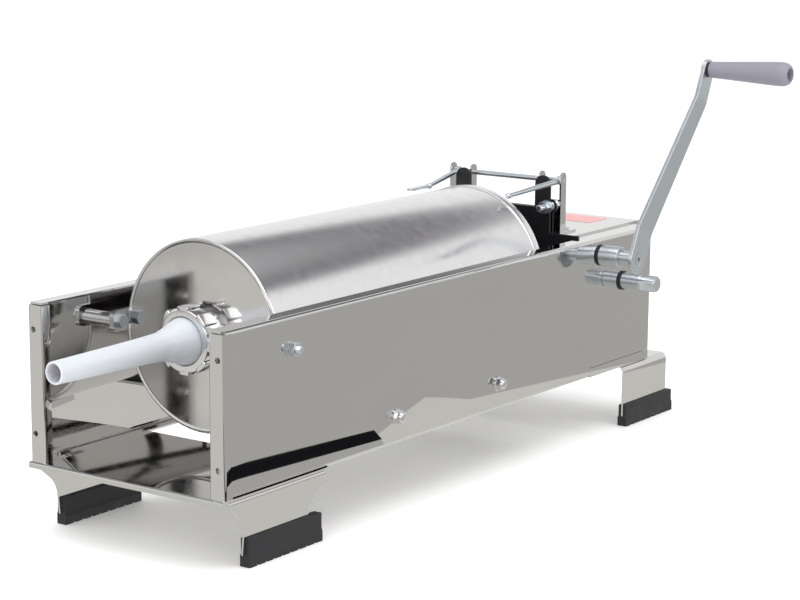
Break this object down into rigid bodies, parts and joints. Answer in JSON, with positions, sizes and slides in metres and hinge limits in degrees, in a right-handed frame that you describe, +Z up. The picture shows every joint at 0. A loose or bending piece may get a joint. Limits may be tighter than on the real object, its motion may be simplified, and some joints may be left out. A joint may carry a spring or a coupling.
{
  "type": "sausage stuffer",
  "caption": "Horizontal stainless sausage stuffer: a crank drives a geared rack and piston through a barrel, with a screw-on funnel, between folded side panels on rubber feet.",
  "frame": {"origin": "on the table plane, at the middle of the machine's overall box at rest", "axes": "+X from the nozzle end to the gear end, +Y from the crank side to the far side, +Z up"},
  "size_m": [0.957, 0.453, 0.4486],
  "materials": {
    "mirror_stainless": "mirror-polished folded stainless sheet",
    "satin_stainless": "satin-polished stainless tube and plate",
    "polished_stainless": "polished turned stainless",
    "zinc_steel": "bright zinc-plated steel",
    "black_paint": "black powder-coated steel plate",
    "gear_steel": "oiled cut steel",
    "bronze": "sintered bronze",
    "rubber": "moulded black rubber",
    "white_plastic": "white food-grade nylon",
    "grey_plastic": "moulded grey nylon",
    "black_plastic": "black nylon"
  },
  "bodies": {
    "machine": {"barrel_front_plate": "mirror_stainless", "barrel_rim": "satin_stainless", "barrel_tube": "satin_stainless", "cap_nuts": "polished_stainless", "cover_screws": "zinc_steel", "cradle_bolts": "zinc_steel", "cradle_pads": "rubber", "cradles": "satin_stainless", "crank_bushes": "bronze", "front_foot_far": "rubber", "front_foot_near": "rubber", "front_leg_far": "mirror_stainless", "front_leg_near": "mirror_stainless", "front_plate": "mirror_stainless", "gear_bush_far": "bronze", "gear_bush_near": "bronze", "gear_plate": "black_paint", "hex_nuts": "zinc_steel", "latch_strap_far": "mirror_stainless", "latch_strap_near": "mirror_stainless", "outlet_collar": "satin_stainless", "pivot_bolts": "zinc_steel", "pivot_brackets": "satin_stainless", "pivot_sleeves": "satin_stainless", "rack_guide": "white_plastic", "rear_base": "mirror_stainless", "rear_cover": "mirror_stainless", "rear_foot_far": "rubber", "rear_foot_near": "rubber", "rear_leg_far": "mirror_stainless", "rear_leg_near": "mirror_stainless", "shaft_seals": "rubber", "side_panel_far": "mirror_stainless", "side_panel_near": "mirror_stainless", "tab_bolts": "zinc_steel", "tab_washers": "zinc_steel", "top_cover": "mirror_stainless"},
    "crank": {"crank_shaft": "zinc_steel", "crank_hub": "zinc_steel", "crank_arm": "zinc_steel", "crank_screw": "zinc_steel", "drive_pinion": "gear_steel", "crank_shaft_clip": "gear_steel", "handle_spindle": "zinc_steel", "handle_washer": "black_plastic"},
    "handle": {"handle_grip": "grey_plastic"},
    "gear_shaft_assembly": {"gear_shaft": "zinc_steel", "drive_gear": "gear_steel", "rack_pinion": "gear_steel", "gear_shaft_clip": "gear_steel"},
    "piston": {"piston_disc": "white_plastic", "piston_seal": "rubber", "piston_nut": "zinc_steel", "air_valve": "white_plastic", "rack": "gear_steel"},
    "latch": {"latch_rod": "zinc_steel", "latch_lever_near": "zinc_steel", "latch_lever_far": "zinc_steel"},
    "nozzle": {"funnel": "white_plastic"},
    "nozzle_nut": {"ring_nut": "polished_stainless"}
  },
  "joints": [
    {"name": "crank_turn", "type": "hinge", "parent": "machine", "child": "crank", "pos_m": [0.3069, -0.0616, 0.2184], "axis": [0, -1, 0], "range_deg": [0, 8739]},
    {"name": "handle_spin", "type": "hinge", "parent": "crank", "child": "handle", "pos_m": [0.40635, -0.1716, 0.43462], "axis": [0, -1, 0], "continuous": true},
    {"name": "gear_shaft_turn", "type": "hinge", "parent": "machine", "child": "gear_shaft_assembly", "pos_m": [0.35872, -0.0616, 0.18085], "axis": [0, -1, 0], "range_deg": [-2228, 0]},
    {"name": "piston_slide", "type": "slide", "parent": "machine", "child": "piston", "axis": [1, 0, 0], "range_m": [0, 0.486]},
    {"name": "latch_turn", "type": "hinge", "parent": "machine", "child": "latch", "pos_m": [0.3005, 0.0884, 0.303], "axis": [0, 1, 0], "range_deg": [0, 60]},
    {"name": "nozzle_slide", "type": "slide", "parent": "machine", "child": "nozzle", "axis": [-1, 0, 0], "range_m": [0, 0.016]},
    {"name": "ring_nut_turn", "type": "hinge", "parent": "nozzle", "child": "nozzle_nut", "pos_m": [-0.2855, 0.0884, 0.1987], "axis": [-1, 0, 0], "range_deg": [0, 955]}
  ],
  "couplings": [
    {"joint": "gear_shaft_turn", "follows": "crank_turn", "ratio": -0.2549},
    {"joint": "piston_slide", "follows": "crank_turn", "m_per_rad": 0.0031863},
    {"joint": "nozzle_slide", "follows": "ring_nut_turn", "m_per_rad": 0.00095493}
  ]
}
